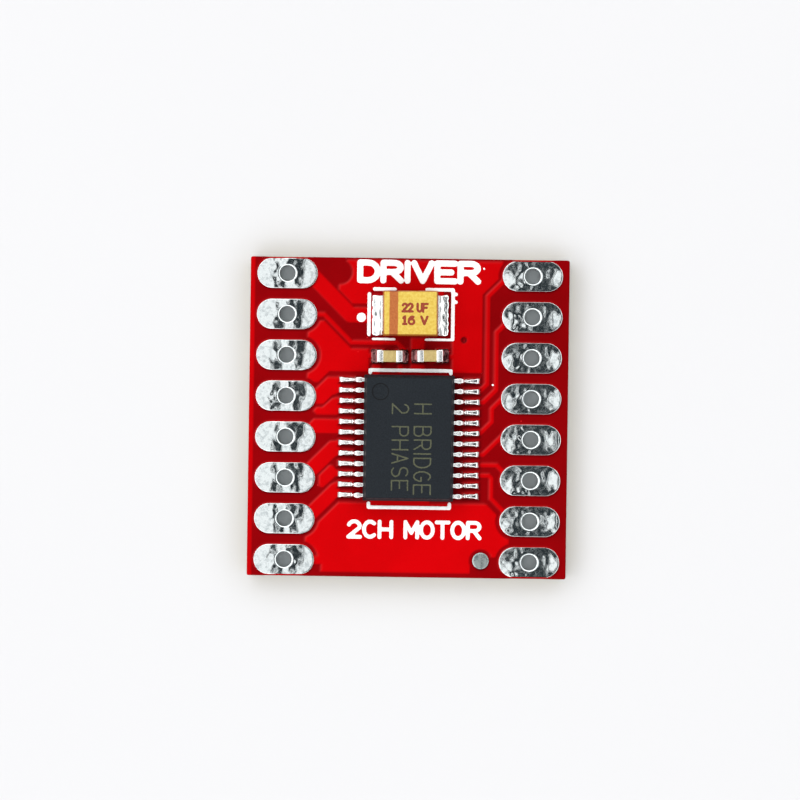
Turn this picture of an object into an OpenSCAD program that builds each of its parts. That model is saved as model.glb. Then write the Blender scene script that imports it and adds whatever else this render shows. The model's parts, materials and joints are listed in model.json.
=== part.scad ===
// Stepper driver module: a square two-layer board with two rows of eight plated header holes,
// one 24-lead bridge driver chip, one moulded tantalum capacitor and two ceramic capacitors.
// +Z is up, the chip faces up, and the origin is the bottom centre of the board.

/* [Board] */
// Side of the square board
board_side = 19.8; // [19.8:0.1:20.6]
// Radius of the board's corners
corner_r = 0.2; // [0.1:0.05:0.3]
// Thickness of the bare laminate
core_t = 1.5; // [0.8:0.1:2]
// Thickness of the etched copper
copper_t = 0.035; // [0.03:0.005:0.05]
// Height of the solder mask above the laminate
mask_t = 0.06; // [0.055:0.005:0.065]
// Thickness of the printed ink
ink_t = 0.012; // [0.01:0.002:0.014]

/* [Header holes] */
// Distance between neighbouring holes of a row
pin_pitch = 2.54; // [2.5:0.01:2.54]
// Distance between the two rows
row_gap = 15.24; // [15:0.02:15.3]
// Radius of a finished hole
hole_r = 0.475; // [0.46:0.005:0.5]
// Length of an oblong land
land_len = 3.76; // [3.6:0.02:3.8]
// Width of an oblong land
land_w = 1.88; // [1.7:0.02:1.88]
// Height of a tinned land above the laminate
land_t = 0.08; // [0.08:0.005:0.1]
// Wall of the plated barrel
barrel_t = 0.05; // [0.03:0.005:0.06]

/* [Driver chip] */
// Width of the moulded body across the leads
chip_w = 5.6; // [5.5:0.05:5.7]
// Length of the moulded body along the leads
chip_l = 7.8; // [7.7:0.05:7.9]
// Height of the moulded body
chip_h = 1.5; // [1.4:0.05:1.6]
// Gap between the body and its seat
chip_standoff = 0.1; // [0.1:0.02:0.16]
// Distance between lead tips on opposite sides
lead_span = 7.6; // [7.5:0.05:7.7]
// Width of a lead
lead_w = 0.22; // [0.2:0.01:0.26]

/* [Capacitors] */
// Length of the tantalum capacitor over its terminals
bulk_l = 3.5; // [3.45:0.05:3.6]
// Width of the tantalum capacitor
bulk_w = 2.8; // [2.7:0.05:2.85]
// Height of the tantalum capacitor
bulk_h = 1.9; // [1.8:0.05:2]
// Length of a ceramic capacitor
ceramic_l = 1.6; // [1.55:0.01:1.65]
// Width of a ceramic capacitor
ceramic_w = 0.76; // [0.7:0.01:0.82]
// Height of a ceramic capacitor
ceramic_h = 0.8; // [0.7:0.05:0.85]

/* [Hidden] */
$fn = 48;
eps = 0.01;
pins_a_side = 8;
sides = ["left", "right"];

// Levels above the surface that the lands rest on
core_z = land_t;
top_z = core_z + core_t;
solder_t = 0.03;
pad_z = top_z + copper_t;
seat_z = pad_z + solder_t;

// Header land positions and the copper-free gap around them
land_x = row_gap / 2;
copper_gap = 0.25;
mask_gap = 0.03;
drill_r = hole_r + barrel_t;
function row_y(i) = ((pins_a_side - 1) / 2 - i) * pin_pitch;

// Chip position and lead rows
leads_a_side = 12;
lead_pitch = 0.65;
lead_t = 0.15;
chip_at = [0.04, -1.25];
chip_pad = [1.05, 0.4];
chip_pad_x = 3.87;
function lead_y(k) = ((leads_a_side - 1) / 2 - k) * lead_pitch;

// Capacitor positions, each [x, y, angle]
bulk_at = [0.04, 6.46, 0.5];
bulk_pad = [1.15, 2.5];
bulk_pad_x = 1.78;
bulk_pad_y = 6.36;
ceramics_at = [[-1.2, 3.8, 0.3], [1.3, 3.85, 1.2]];
ceramic_pad = [0.85, 0.9];
ceramic_pad_x = 0.75;

// Small plated vias and the round test point
vias_at = [[3.38, 4.87], [2.2, 0.375], [-0.8, -2.2], [-0.8, 0.2]];
via_hole_r = 0.15;
via_barrel_t = 0.025;
via_ring_r = 0.32;
test_at = [4.6, -8.83];
test_r = 0.52;
test_gap = 0.2;

// Top traces, each [width, points]
top_traces = [
    [0.93, [[-6.3, 8.98], [-3.67, 6.35], [-1.6, 6.35]]],
    [0.25, [[-6.3, 6.35], [-5.3, 6.35], [-3.6, 4.65], [-0.75, 4.65], [-0.35, 4.25]]],
    [0.27, [[6.15, 8.9], [4.85, 7.6], [4.85, 2.15], [4.375, 1.675]]],
    [0.27, [[6.3, 6.25], [5.42, 5.37], [5.42, 1.8], [4.645, 1.025], [4.3, 1.025]]],
    [0.25, [[6.1, 1.55], [5.17, 0.62], [5.17, -0.2], [4.445, -0.925], [4.3, -0.925]]],
    [0.25, [[6.1, -0.8], [4.675, -2.225], [4.3, -2.225]]],
    [0.25, [[6.2, -3.545], [5.53, -2.875], [4.3, -2.875]]],
    [0.25, [[6.2, -5.95], [5.2, -4.95], [5.2, -3.695], [5.03, -3.525], [4.3, -3.525]]],
    [0.25, [[3.9, 0.375], [2.2, 0.375]]],
    [0.3, [[-2.6, 3.85], [-2.1, 3.85]]],
    [0.3, [[2.2, 3.82], [2.8, 3.82]]],
    [0.34, [[1.92, 7.5], [1.92, 8.1]]],
    [0.3, [[-0.55, 3.6], [-0.55, 2.9]]],
    [0.5, [[-2.02, 3.6], [-2.02, 2.9]]],
    [0.5, [[-6.2, -8.9], [-5.3, -8.9]]]
];

// Pours on the top: ground above and below the chip, and the left logic ground
ground_above = [
    [-3.9, 9.75], [5.75, 9.75], [5.75, 8.95], [4.52, 7.72], [4.52, 2.84], [2.65, 2.84],
    [2.65, 7.88], [-2.45, 7.88], [-2.45, 7.05], [-3.55, 7.05], [-4.4, 7.9], [-4.4, 8.15]
];
ground_below = [
    [-5.3, -9.62], [3.94, -9.62], [3.94, -8.6], [5.5, -8.6], [6.33, -7.75], [6.33, -7.1],
    [5.5, -5.9], [4.95, -5.35], [4.8, -5.3], [1.4, -5.3], [1.4, 1.7], [-2.3, 1.7],
    [-2.3, -5.3], [-4.25, -5.3], [-5.45, -6.5], [-6.3, -7.1], [-6.3, -8.2], [-5.3, -8.9]
];
ground_left = [
    [-6.3, 2.15], [-6.3, 5.95], [-5.3, 5.95], [-3.6, 4.25], [-2.5, 4.25],
    [-2.5, 2.85], [-4.93, 2.85], [-5.63, 2.15]
];
// Motor output shapes between the left lands and the leads, top to bottom
output_shapes = [
    [[-6, 0.8], [-6.2, 1.3], [-5.03, 2.47], [-4.2, 2.47], [-4.2, 1.55], [-4.75, 1.35], [-5.3, 0.8]],
    [[-5.7, 0.14], [-5.86, 0.3], [-5.86, 0.42], [-5.68, 0.58], [-5.35, 0.58], [-4.75, 1.13],
     [-4.5, 1.2], [-4.2, 1.2], [-4.2, 0.14]],
    [[-6.3, -0.59], [-5.85, -0.14], [-4.2, -0.14], [-4.2, -1.02], [-6, -1.02]],
    [[-6.3, -2.97], [-4.85, -1.52], [-4.2, -1.45], [-4.2, -2.38], [-4.5, -2.45], [-5.65, -3.6],
     [-6.2, -3.7]],
    [[-5.5, -3.66], [-4.85, -3.01], [-4.62, -3.05], [-4.45, -3.28], [-4.2, -3.35], [-4.2, -3.68],
     [-4.5, -3.7], [-5.25, -4.4], [-5.42, -4.36], [-5.5, -4.2]],
    [[-6.3, -5.75], [-4.75, -4.2], [-4.5, -4.07], [-4.2, -4.05], [-4.2, -4.97], [-4.35, -5],
     [-5.75, -6.4], [-6.2, -6.4]]
];
supply_link = [[0.1, 2.9], [0.95, 2.9], [0.95, 4.95], [0.1, 4.95]];
rounded_keepout = [-4.35, 9];
rounded_keepout_r = 0.78;

// Bottom trace from the third right land to the via under the chip
bottom_traces = [[0.25, [[2.2, 0.375], [5.635, 3.81], [6.6, 3.81]]]];
// Lands that belong to ground, each [side, index]
ground_lands = [[-1, 2], [-1, 7], [1, 7]];
bottom_pour = 19.1;
spoke_w = 0.4;
spoke_l = 1.2;

// Printed lines on the top, each [width, points]
ink_w = 0.22;
top_ink_lines = [
    [ink_w, [[-2.4, 2.78], [-2.4, 2.94], [2.6, 2.94], [2.6, 2.78]]],
    [ink_w, [[-2.4, -5.33], [-2.4, -5.58], [2.62, -5.58], [2.62, -5.33]]],
    [ink_w, [[-2.52, 7.66], [-2.52, 5.15]]],
    [ink_w, [[-2.2, 7.97], [-0.94, 7.97]]],
    [0.15, [[-2.25, 4.87], [-0.93, 4.87]]],
    [ink_w, [[1.06, 7.97], [2.68, 7.97], [2.68, 4.9]]],
    [0.15, [[1.03, 4.87], [2.68, 4.87]]],
    [ink_w, [[2.68, 7.7], [2.86, 7.7]]],
    [ink_w, [[2.68, 7.22], [2.86, 7.22]]]
];
ink_dot_at = [-3, 6.2];
ink_dot_r = 0.29;
bottom_ink_x = 5.2;
bottom_dot_x = 1.6 - bottom_ink_x;
bottom_ink_y = 9.2;

// ---- Outlines --------------------------------------------------------------

module board_outline() {
    inner = board_side - 2 * corner_r;
    square([inner, board_side], center = true);
    square([board_side, inner], center = true);
    for (x = [-inner / 2, inner / 2], y = [-inner / 2, inner / 2])
        translate([x, y]) circle(r = corner_r);
}

// Oblong with half-round ends
module oblong(len, w) {
    square([len - w, w], center = true);
    for (x = [-1, 1]) translate([x * (len - w) / 2, 0]) circle(d = w);
}

module land_outline(side, i, grow = 0) {
    translate([side * land_x, row_y(i)]) oblong(land_len + 2 * grow, land_w + 2 * grow);
}

module land_outlines(grow = 0) {
    for (side = [-1, 1], i = [0:pins_a_side - 1]) land_outline(side, i, grow);
}

// Round-ended line of one width through a list of points
module stroke(w, points) {
    for (p = points) translate(p) circle(d = w);
    for (k = [1:len(points) - 1]) {
        step = points[k] - points[k - 1];
        translate(points[k - 1]) rotate(atan2(step[1], step[0]))
            translate([0, -w / 2]) square([norm(step), w]);
    }
}

module strokes(lines, grow = 0) {
    for (line = lines) stroke(line[0] + 2 * grow, line[1]);
}

module via_outlines(r) {
    for (at = vias_at) translate(at) circle(r = r);
}

module chip_pads(grow = 0) {
    for (side = [-1, 1], k = [0:leads_a_side - 1])
        translate(chip_at + [side * chip_pad_x, lead_y(k)])
            square(chip_pad + [2 * grow, 2 * grow], center = true);
}

module capacitor_pads(grow = 0) {
    for (side = [-1, 1]) {
        translate([bulk_at[0] + side * bulk_pad_x, bulk_pad_y])
            square(bulk_pad + [2 * grow, 2 * grow], center = true);
        for (at = ceramics_at)
            translate([at[0] + side * ceramic_pad_x, at[1]])
                square(ceramic_pad + [2 * grow, 2 * grow], center = true);
    }
}

module top_pours() {
    difference() {
        union() {
            difference() {
                polygon(ground_above);
                translate(rounded_keepout) circle(r = rounded_keepout_r);
            }
            difference() {
                polygon(ground_below);
                translate(test_at) circle(r = test_r + test_gap);
            }
            polygon(ground_left);
        }
        land_outlines(copper_gap);
    }
}

module top_copper_outline() {
    difference() {
        union() {
            top_pours();
            for (shape = output_shapes) polygon(shape);
            polygon(supply_link);
            strokes(top_traces);
            chip_pads();
            capacitor_pads();
        }
        land_outlines();
        via_outlines(via_ring_r);
    }
}

module bottom_copper_outline() {
    difference() {
        union() {
            difference() {
                square(bottom_pour, center = true);
                land_outlines(copper_gap);
                strokes(bottom_traces, copper_gap);
                translate(vias_at[1]) circle(r = via_ring_r + copper_gap);
            }
            strokes(bottom_traces);
            for (at = ground_lands)
                translate([at[0] * (land_x - land_len / 2), row_y(at[1])])
                    square([spoke_l, spoke_w], center = true);
        }
        land_outlines();
        via_outlines(via_ring_r);
    }
}

// ---- Board -----------------------------------------------------------------

module substrate() {
    color("tan") translate([0, 0, core_z]) difference() {
        linear_extrude(core_t) board_outline();
        for (x = [-land_x, land_x], i = [0:pins_a_side - 1])
            translate([x, row_y(i), -1]) cylinder(r = drill_r, h = core_t + 2);
        for (at = vias_at)
            translate([at[0], at[1], -1]) cylinder(r = via_hole_r + via_barrel_t, h = core_t + 2);
    }
}

module top_copper() {
    color("chocolate") translate([0, 0, top_z]) linear_extrude(copper_t) top_copper_outline();
}

module bottom_copper() {
    color("chocolate") translate([0, 0, core_z - copper_t])
        linear_extrude(copper_t) bottom_copper_outline();
}

module top_solder_mask() {
    color("red") translate([0, 0, top_z]) difference() {
        linear_extrude(mask_t) difference() {
            board_outline();
            land_outlines(mask_gap);
            chip_pads(mask_gap);
            capacitor_pads(mask_gap);
            translate(test_at) circle(r = test_r + mask_gap);
        }
        translate([0, 0, -eps]) linear_extrude(copper_t + eps) {
            top_copper_outline();
            via_outlines(via_ring_r);
        }
    }
}

module bottom_solder_mask() {
    color("red") translate([0, 0, core_z - mask_t]) difference() {
        linear_extrude(mask_t) difference() {
            board_outline();
            land_outlines(mask_gap);
        }
        translate([0, 0, mask_t - copper_t]) linear_extrude(copper_t + eps) {
            bottom_copper_outline();
            via_outlines(via_ring_r);
        }
    }
}

module top_silkscreen() {
    color("white") translate([0, 0, top_z + mask_t]) linear_extrude(ink_t) {
        strokes(top_ink_lines);
        translate(ink_dot_at) circle(r = ink_dot_r);
    }
}

module bottom_silkscreen() {
    color("white") translate([0, 0, core_z - mask_t - ink_t]) linear_extrude(ink_t) {
        for (x = [-bottom_ink_x, bottom_ink_x])
            stroke(ink_w, [[x, -bottom_ink_y], [x, bottom_ink_y]]);
        translate([bottom_dot_x, row_y(0)]) circle(r = ink_dot_r);
    }
}

// Tinned land on each face joined by the plated wall of the hole
module pin_terminal(side, i) {
    color("silver") difference() {
        union() {
            linear_extrude(land_t) land_outline(side, i);
            translate([0, 0, top_z]) linear_extrude(land_t) land_outline(side, i);
            translate([side * land_x, row_y(i), land_t / 2]) cylinder(r = drill_r, h = core_t + land_t);
        }
        translate([side * land_x, row_y(i), -1]) cylinder(r = hole_r, h = top_z + land_t + 2);
    }
}

module plated_vias() {
    color("chocolate") for (at = vias_at) translate([at[0], at[1], 0]) difference() {
        union() {
            for (z = [core_z - copper_t, top_z])
                translate([0, 0, z]) cylinder(r = via_ring_r, h = copper_t);
            translate([0, 0, core_z - copper_t / 2])
                cylinder(r = via_hole_r + via_barrel_t, h = core_t + copper_t);
        }
        cylinder(r = via_hole_r, h = top_z + 1);
    }
}

module test_point() {
    color("silver") translate([test_at[0], test_at[1], top_z]) cylinder(r = test_r, h = land_t);
}

// ---- Driver chip -----------------------------------------------------------

chip_z = seat_z + chip_standoff;
chip_draft = 0.18;
lead_mid = 0.72;
lead_z = chip_z + lead_mid;
die = [2.3, 3.4, 0.25];
paddle = [2.7, 4.2, 0.15];
attach_t = 0.02;
die_z = lead_z + lead_t / 2 - die[2];
finger_x = 1.8;
finger_fan = 0.5;
finger_w = 0.17;
wire_t = 0.03;
wire_rise = 0.22;

// Side view of a moulded block, widest at its parting line
function moulded_side(half, h, split, draft) = [
    [-half + draft, 0], [half - draft, 0], [half, split],
    [half - draft, h], [-half + draft, h], [-half, split]
];

module moulded_block(l, w, h, split, draft) {
    intersection() {
        translate([0, w / 2, 0]) rotate([90, 0, 0])
            linear_extrude(w) polygon(moulded_side(l / 2, h, split, draft));
        translate([-l / 2, 0, 0]) rotate([90, 0, 90])
            linear_extrude(l) polygon(moulded_side(w / 2, h, split, draft));
    }
}

// Centreline of a gull-wing lead as [x, z, direction], outwards from inside the body
lead_in = 2.55;
shoulder_x = 3.2;
bend_r = 0.13;
bend_a = 78;
bend_steps = 6;
lead_top = lead_z - seat_z;
lead_drop = lead_top - lead_t / 2;
leg = (lead_drop - 2 * bend_r * (1 - cos(bend_a))) / sin(bend_a);
heel_x = shoulder_x + 2 * bend_r * sin(bend_a) + leg * cos(bend_a);
lead_path = concat(
    [[lead_in, lead_top, 0]],
    [for (k = [0:bend_steps]) let (a = bend_a * k / bend_steps)
        [shoulder_x + bend_r * sin(a), lead_top - bend_r * (1 - cos(a)), -a]],
    [for (k = [bend_steps:-1:0]) let (a = bend_a * k / bend_steps)
        [heel_x - bend_r * sin(a), lead_t / 2 + bend_r * (1 - cos(a)), -a]],
    [[lead_span / 2, lead_t / 2, 0]]
);
function beside(p, d) = [p[0] - d * sin(p[2]), p[1] + d * cos(p[2])];
lead_side = concat(
    [for (p = lead_path) beside(p, lead_t / 2)],
    [for (k = [len(lead_path) - 1:-1:0]) beside(lead_path[k], -lead_t / 2)]
);

module lead(side, k) {
    y = lead_y(k);
    translate([chip_at[0], chip_at[1], seat_z]) mirror([side < 0 ? 1 : 0, 0, 0]) {
        translate([0, y + lead_w / 2, 0]) rotate([90, 0, 0])
            linear_extrude(lead_w) polygon(lead_side);
        translate([0, 0, lead_top - lead_t / 2]) linear_extrude(lead_t) polygon([
            [lead_in + 0.05, y - lead_w / 2], [lead_in + 0.05, y + lead_w / 2],
            [finger_x, y * finger_fan + finger_w / 2], [finger_x, y * finger_fan - finger_w / 2]
        ]);
    }
}

module leads(side) {
    color("silver") for (k = [0:leads_a_side - 1]) lead(side, k);
}

module chip_box(size, z) {
    translate([chip_at[0], chip_at[1], z + size[2] / 2]) cube(size, center = true);
}

// Die paddle with a tie bar to each end of the body
module driver_chip_paddle() {
    color("peru") {
        chip_box(paddle, die_z - attach_t - paddle[2]);
        chip_box([0.5, chip_l - 2 * chip_draft, paddle[2]], die_z - attach_t - paddle[2]);
    }
}

module driver_chip_die_attach() {
    color("gray") chip_box([die[0], die[1], attach_t], die_z - attach_t);
}

module driver_chip_die() {
    color("slategray") chip_box(die, die_z);
}

// Flat arch standing on two points, one wire thick
module bond_arch(a, b) {
    span = norm(b - a);
    steps = 8;
    arc = [for (k = [0:steps]) [span * k / steps, wire_rise * sin(180 * k / steps)]];
    inner = [for (k = [steps - 1:-1:1])
        [span / 2 + (arc[k][0] - span / 2) * 0.85, arc[k][1] - wire_t]];
    translate([a[0], a[1], 0]) rotate(atan2(b[1] - a[1], b[0] - a[0]))
        translate([0, wire_t / 2, 0]) rotate([90, 0, 0])
            linear_extrude(wire_t) polygon(concat(arc, [[span - wire_t, 0]], inner, [[wire_t, 0]]));
}

module driver_chip_bond_wires() {
    color("gold") translate([chip_at[0], chip_at[1], lead_z + lead_t / 2])
        for (side = [-1, 1], k = [0:leads_a_side - 1])
            bond_arch([side * (die[0] / 2 - 0.12), lead_y(k) * 0.42],
                      [side * (finger_x + 0.15), lead_y(k) * finger_fan * 1.06]);
}

module driver_chip_body() {
    color([0.16, 0.18, 0.2]) difference() {
        translate([chip_at[0], chip_at[1], chip_z])
            moulded_block(chip_w, chip_l, chip_h, lead_mid, chip_draft);
        translate([chip_at[0] - 1.78, chip_at[1] + 2.85, chip_z + chip_h - 0.05])
            cylinder(r = 0.52, h = 1);
        for (side = [-1, 1]) leads(side);
        driver_chip_paddle();
        driver_chip_die_attach();
        driver_chip_die();
        driver_chip_bond_wires();
    }
}

// Solder film under a foot with a toe fillet running down to the end of the pad
module fillet(foot_in, tip, pad_end, rise, w) {
    translate([0, w / 2, 0]) rotate([90, 0, 0]) linear_extrude(w) polygon([
        [foot_in, 0], [pad_end, 0], [pad_end - (pad_end - tip) * 0.45, rise * 0.3],
        [tip, rise], [tip, solder_t], [foot_in, solder_t]
    ]);
}

module driver_chip_solder() {
    color("gainsboro") for (side = [-1, 1], k = [0:leads_a_side - 1])
        translate([chip_at[0], chip_at[1] + lead_y(k), pad_z]) mirror([side < 0 ? 1 : 0, 0, 0])
            fillet(heel_x, lead_span / 2, chip_pad_x + chip_pad[0] / 2, solder_t + lead_t * 0.8,
                   chip_pad[1] - 0.04);
}

// ---- Tantalum capacitor ----------------------------------------------------

bulk_end_t = 0.12;
bulk_split = 0.95;
bulk_draft = 0.05;
bulk_end_w = 2.2;
bulk_foot = 0.8;
pellet = [1.9, 2.1, 1.1];
pellet_x = 0.22;
pellet_z = 0.42;
anode_wire_r = 0.15;

module at_bulk() {
    translate([bulk_at[0], bulk_at[1], seat_z]) rotate(bulk_at[2]) children();
}

// Strip from inside the end, down the end face and under the body, slotted where it bends
module bulk_terminal(side, inner_x) {
    outer = bulk_l / 2;
    mirror([side < 0 ? 1 : 0, 0, 0]) difference() {
        translate([0, bulk_end_w / 2, 0]) rotate([90, 0, 0]) linear_extrude(bulk_end_w) polygon([
            [inner_x, bulk_split], [outer - bulk_end_t, bulk_split], [outer - bulk_end_t, bulk_end_t],
            [outer - bulk_foot, bulk_end_t], [outer - bulk_foot, 0], [outer, 0],
            [outer, bulk_split + bulk_end_t], [inner_x, bulk_split + bulk_end_t]
        ]);
        translate([outer - bulk_end_t - eps, -0.35, bulk_split - 0.35])
            cube([1, 0.7, 0.8]);
    }
}

module bulk_capacitor_anode_terminal() {
    color("lightgray") at_bulk() bulk_terminal(-1, 1.3);
}

module bulk_capacitor_cathode_terminal() {
    color("lightgray") at_bulk() bulk_terminal(1, 1.32);
}

module bulk_capacitor_anode_wire() {
    color("dimgray") at_bulk() translate([-1.3, 0, bulk_split - anode_wire_r])
        rotate([0, 90, 0]) translate([0, 0, -0.15])
            cylinder(r = anode_wire_r, h = 0.15 + 1.3 + pellet_x - pellet[0] / 2);
}

module bulk_capacitor_pellet() {
    color("dimgray") at_bulk() translate([pellet_x, 0, pellet_z + pellet[2] / 2])
        cube(pellet, center = true);
}

module bulk_capacitor_body() {
    body_l = bulk_l - 2 * bulk_end_t - eps;
    color([0.92, 0.8, 0.36]) difference() {
        at_bulk() union() {
            translate([0, 0, bulk_end_t])
                moulded_block(body_l, bulk_w, bulk_h - bulk_end_t, bulk_split - bulk_end_t, bulk_draft);
            translate([0, 0, bulk_split + bulk_end_t])
                moulded_block(bulk_l - 0.1, bulk_w, bulk_h - bulk_split - bulk_end_t, 0.01, bulk_draft);
        }
        bulk_capacitor_anode_terminal();
        bulk_capacitor_cathode_terminal();
        bulk_capacitor_anode_wire();
        bulk_capacitor_pellet();
    }
}

module bulk_capacitor_solder() {
    pad_end = bulk_pad_x + bulk_pad[0] / 2;
    color("gainsboro") for (side = [-1, 1])
        translate([bulk_at[0], bulk_at[1], pad_z]) rotate(bulk_at[2]) mirror([side < 0 ? 1 : 0, 0, 0])
            fillet(bulk_l / 2 - bulk_foot, bulk_l / 2, pad_end - 0.02, 0.8, bulk_end_w);
}

// ---- Ceramic capacitors ----------------------------------------------------

cap_band = 0.42;
cap_skin = 0.03;
plates = 6;
plate_t = 0.02;

module at_ceramic(n) {
    at = ceramics_at[n - 1];
    translate([at[0], at[1], seat_z]) rotate(at[2]) children();
}

module ceramic_block() {
    translate([0, 0, ceramic_h / 2])
        cube([ceramic_l - 2 * cap_skin, ceramic_w - 2 * cap_skin, ceramic_h - 2 * cap_skin], center = true);
}

// Alternate plates reach the left and the right end
module electrodes(n) {
    l = ceramic_l - 2 * cap_skin - 0.25;
    color("darkgray") at_ceramic(n) for (k = [0:plates - 1])
        translate([(k % 2 == 0 ? -1 : 1) * 0.125, 0, ceramic_h * (k + 1) / (plates + 1)])
            cube([l, ceramic_w - 0.3, plate_t], center = true);
}

module ceramic_body(n) {
    color("burlywood") difference() {
        at_ceramic(n) ceramic_block();
        electrodes(n);
    }
}

module end_cap(n, side) {
    color("silver") at_ceramic(n) difference() {
        translate([side * (ceramic_l - cap_band) / 2, 0, ceramic_h / 2])
            cube([cap_band, ceramic_w, ceramic_h], center = true);
        ceramic_block();
    }
}

module ceramic_solder(n) {
    pad_end = ceramic_pad_x + ceramic_pad[0] / 2;
    at = ceramics_at[n - 1];
    color("gainsboro") for (side = [-1, 1])
        translate([at[0], at[1], pad_z]) rotate(at[2]) mirror([side < 0 ? 1 : 0, 0, 0])
            fillet(ceramic_l / 2 - cap_band, ceramic_l / 2, pad_end - 0.02, 0.45, ceramic_w);
}

// ---- Assembly --------------------------------------------------------------

substrate();
top_copper();
bottom_copper();
top_solder_mask();
bottom_solder_mask();
top_silkscreen();
bottom_silkscreen();
plated_vias();
test_point();
for (s = [0, 1], i = [0:pins_a_side - 1])
    pin_terminal(2 * s - 1, i);
driver_chip_body();
leads(-1);  // driver_chip_leads_left
leads(1);  // driver_chip_leads_right
driver_chip_paddle();
driver_chip_die_attach();
driver_chip_die();
driver_chip_bond_wires();
driver_chip_solder();
bulk_capacitor_body();
bulk_capacitor_pellet();
bulk_capacitor_anode_wire();
bulk_capacitor_anode_terminal();
bulk_capacitor_cathode_terminal();
bulk_capacitor_solder();
for (n = [1, 2]) {
    ceramic_body(n);
    electrodes(n);
    end_cap(n, -1);
    end_cap(n, 1);
    ceramic_solder(n);
}
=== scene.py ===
import json
import math

import bmesh
import bpy
import numpy as np
from mathutils import Matrix, Vector


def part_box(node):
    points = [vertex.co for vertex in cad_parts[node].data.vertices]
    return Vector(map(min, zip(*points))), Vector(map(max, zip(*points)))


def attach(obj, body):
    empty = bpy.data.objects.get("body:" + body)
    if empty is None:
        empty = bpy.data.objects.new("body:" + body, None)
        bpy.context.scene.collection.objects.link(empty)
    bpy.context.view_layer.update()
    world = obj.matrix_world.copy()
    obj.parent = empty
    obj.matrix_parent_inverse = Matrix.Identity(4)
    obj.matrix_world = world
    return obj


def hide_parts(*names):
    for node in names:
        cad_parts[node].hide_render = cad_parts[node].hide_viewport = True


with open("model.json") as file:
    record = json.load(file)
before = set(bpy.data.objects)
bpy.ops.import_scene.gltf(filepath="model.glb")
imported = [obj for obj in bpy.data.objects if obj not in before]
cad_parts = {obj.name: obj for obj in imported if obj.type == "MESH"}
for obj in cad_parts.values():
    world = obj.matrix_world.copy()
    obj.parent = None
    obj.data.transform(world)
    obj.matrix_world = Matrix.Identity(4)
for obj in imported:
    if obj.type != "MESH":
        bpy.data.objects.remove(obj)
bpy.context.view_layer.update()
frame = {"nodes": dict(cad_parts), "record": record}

# Lengths are in millimetres; meshes are scaled to metres as they are made.
MM = 0.001
BODY = "root"
SIDES = {"left": -1, "right": 1}
PINS = 8
LEADS = 12


def box(node):
    """Lowest and highest corner of a CAD node, in millimetres."""
    low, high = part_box(node)
    return np.array(low) / MM, np.array(high) / MM


core_low, core_high = box("substrate")
TOP = core_high[2]
UNDER = core_low[2]
COPPER_T = box("top_copper")[1][2] - TOP
MASK_T = box("top_solder_mask")[1][2] - TOP
INK_T = box("top_silkscreen")[1][2] - TOP - MASK_T
LAND_T = box("pin_terminal_left_1")[1][2] - TOP


# ---- Node materials ----

class Finish:
    """A procedural material whose textures run in object millimetres."""

    def __init__(self, name, metal=0.0, spec=0.5):
        self.mat = bpy.data.materials.new(name)
        self.mat.use_nodes = True
        self.tree = self.mat.node_tree
        self.bsdf = self.tree.nodes["Principled BSDF"]
        self.bsdf.inputs["Metallic"].default_value = metal
        self.bsdf.inputs["Specular IOR Level"].default_value = spec
        self.place = self.add("ShaderNodeMapping")
        self.place.inputs["Scale"].default_value = (1 / MM, 1 / MM, 1 / MM)
        self.link(self.add("ShaderNodeTexCoord").outputs["Object"], self.place.inputs["Vector"])

    def add(self, kind):
        return self.tree.nodes.new(kind)

    def link(self, a, b):
        self.tree.links.new(a, b)

    def feed(self, value, socket):
        if isinstance(value, bpy.types.NodeSocket):
            self.link(value, socket)
        else:
            socket.default_value = value

    def noise(self, per_mm, detail=3.0, rough=0.55, stretch=(1, 1, 1)):
        node = self.add("ShaderNodeTexNoise")
        node.inputs["Scale"].default_value = per_mm
        node.inputs["Detail"].default_value = detail
        node.inputs["Roughness"].default_value = rough
        place = self.add("ShaderNodeMapping")
        place.inputs["Scale"].default_value = stretch
        self.link(self.place.outputs["Vector"], place.inputs["Vector"])
        self.link(place.outputs["Vector"], node.inputs["Vector"])
        return node.outputs["Fac"]

    def cells(self, per_mm):
        node = self.add("ShaderNodeTexVoronoi")
        node.inputs["Scale"].default_value = per_mm
        self.link(self.place.outputs["Vector"], node.inputs["Vector"])
        return node.outputs["Distance"]

    def axis(self, index):
        node = self.add("ShaderNodeSeparateXYZ")
        self.link(self.place.outputs["Vector"], node.inputs["Vector"])
        return node.outputs[index]

    def attribute(self, name):
        node = self.add("ShaderNodeAttribute")
        node.attribute_name = name
        return node.outputs["Fac"]

    def math(self, kind, a, b):
        node = self.add("ShaderNodeMath")
        node.operation = kind
        self.feed(a, node.inputs[0])
        self.feed(b, node.inputs[1])
        return node.outputs[0]

    def span(self, value, lo, hi, a=0.0, b=1.0):
        node = self.add("ShaderNodeMapRange")
        node.interpolation_type = "SMOOTHSTEP"
        set_range(node, lo, hi, a, b)
        self.link(value, node.inputs["Value"])
        return node.outputs["Result"]

    def mix(self, fac, a, b, kind="MIX"):
        node = self.add("ShaderNodeMix")
        node.data_type = "RGBA"
        node.blend_type = kind
        self.feed(fac, node.inputs[0])
        for value, index in ((a, 6), (b, 7)):
            self.feed(tint(value) if isinstance(value, tuple) else value, node.inputs[index])
        return node.outputs[2]

    def colour(self, socket):
        self.link(socket, self.bsdf.inputs["Base Color"])

    def rough(self, value):
        self.feed(value, self.bsdf.inputs["Roughness"])

    def bump(self, height, depth, chain=None):
        node = self.add("ShaderNodeBump")
        node.inputs["Distance"].default_value = depth * MM
        self.link(height, node.inputs["Height"])
        if chain:
            self.link(chain, node.inputs["Normal"])
        self.link(node.outputs["Normal"], self.bsdf.inputs["Normal"])
        return node.outputs["Normal"]


def set_range(node, *limits):
    for key, v in zip(("From Min", "From Max", "To Min", "To Max"), limits):
        node.inputs[key].default_value = v


def tint(rgb):
    return (*rgb, 1.0)


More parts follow.
